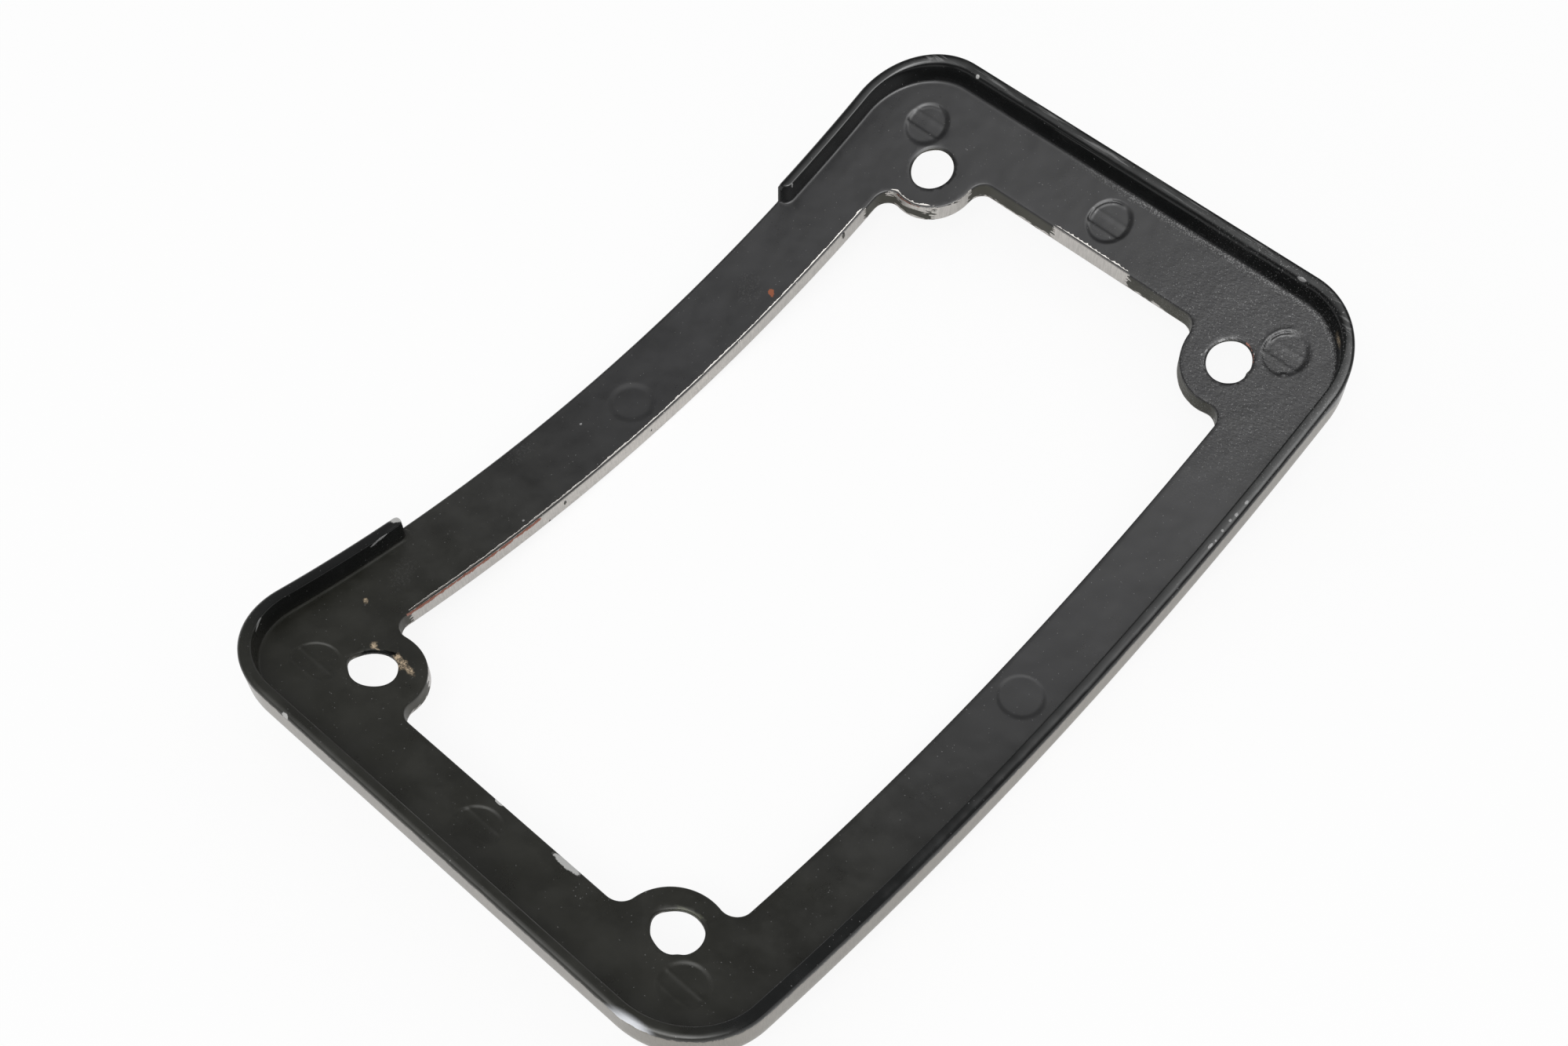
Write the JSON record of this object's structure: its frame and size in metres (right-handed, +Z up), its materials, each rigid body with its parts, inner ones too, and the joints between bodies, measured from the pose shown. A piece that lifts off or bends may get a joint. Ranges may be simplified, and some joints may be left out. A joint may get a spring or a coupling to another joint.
{
  "type": "number plate holder",
  "caption": "Rectangular cast frame for a motorcycle number plate, bent lengthwise, with a large window, a low rim round the back and a hole in a lobe at each corner.",
  "frame": {"origin": "middle of the outline, at the lowest line of the polished front, on which the frame lies", "axes": "+X along the length, +Y across the width towards the long side whose rim is interrupted, +Z up out of the painted back that takes the plate"},
  "size_m": [0.182, 0.1112, 0.0269],
  "materials": {
    "casting": "satin black paint on the back, worn to the chrome plating of the front and edges"
  },
  "bodies": {
    "root": {"plate_frame": "casting"}
  },
  "joints": []
}
